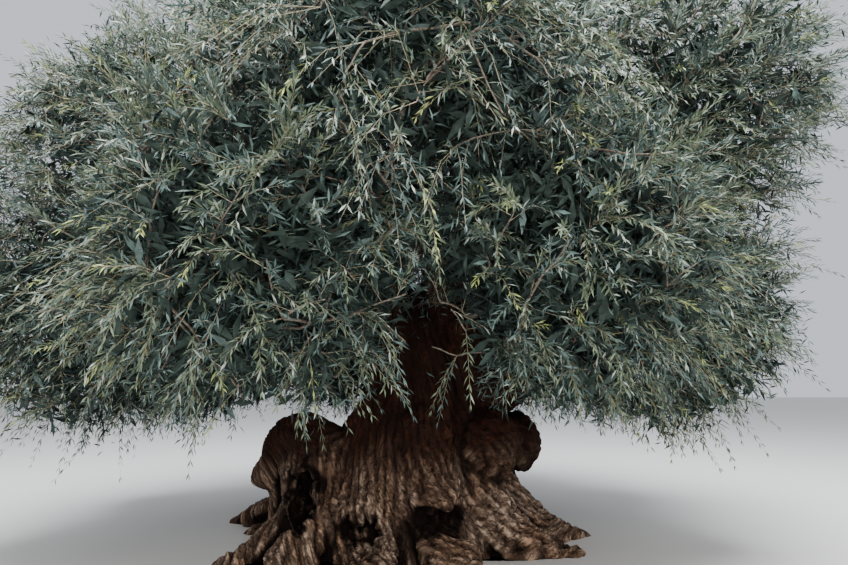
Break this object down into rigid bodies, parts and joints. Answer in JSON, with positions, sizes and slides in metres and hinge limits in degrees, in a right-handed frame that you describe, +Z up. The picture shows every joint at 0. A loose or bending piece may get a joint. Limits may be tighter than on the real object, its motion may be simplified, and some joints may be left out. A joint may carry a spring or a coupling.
{
  "type": "olive tree",
  "caption": "Very old, squat olive tree with a twisted trunk on flared roots, forking boughs and a broad crown that hangs low all round.",
  "frame": {"origin": "centre of the flat cut under the trunk, at ground level", "axes": "+Z up; -Y towards the viewer of the picture; +X to the viewer's right"},
  "size_m": [8.8102, 8.3531, 7.131],
  "materials": {
    "bark": "rough, deeply ridged bark",
    "foliage": "matt grey-green leaves"
  },
  "bodies": {
    "root": {"trunk": "bark", "bough_low_1": "bark", "bough_low_2": "bark", "bough_low_3": "bark", "bough_low_4": "bark", "bough_low_5": "bark", "bough_low_6": "bark", "bough_low_7": "bark", "bough_low_8": "bark", "bough_middle_1": "bark", "bough_middle_2": "bark", "bough_middle_3": "bark", "bough_middle_4": "bark", "bough_middle_5": "bark", "bough_middle_6": "bark", "bough_middle_7": "bark", "bough_top_1": "bark", "bough_top_2": "bark", "bough_top_3": "bark", "bough_top_4": "bark", "bough_top_5": "bark", "foliage_low_1": "foliage", "foliage_low_2": "foliage", "foliage_low_3": "foliage", "foliage_low_4": "foliage", "foliage_low_5": "foliage", "foliage_low_6": "foliage", "foliage_low_7": "foliage", "foliage_low_8": "foliage", "foliage_middle_1": "foliage", "foliage_middle_2": "foliage", "foliage_middle_3": "foliage", "foliage_middle_4": "foliage", "foliage_middle_5": "foliage", "foliage_middle_6": "foliage", "foliage_middle_7": "foliage", "foliage_top_1": "foliage", "foliage_top_2": "foliage", "foliage_top_3": "foliage", "foliage_top_4": "foliage", "foliage_top_5": "foliage"}
  },
  "joints": []
}
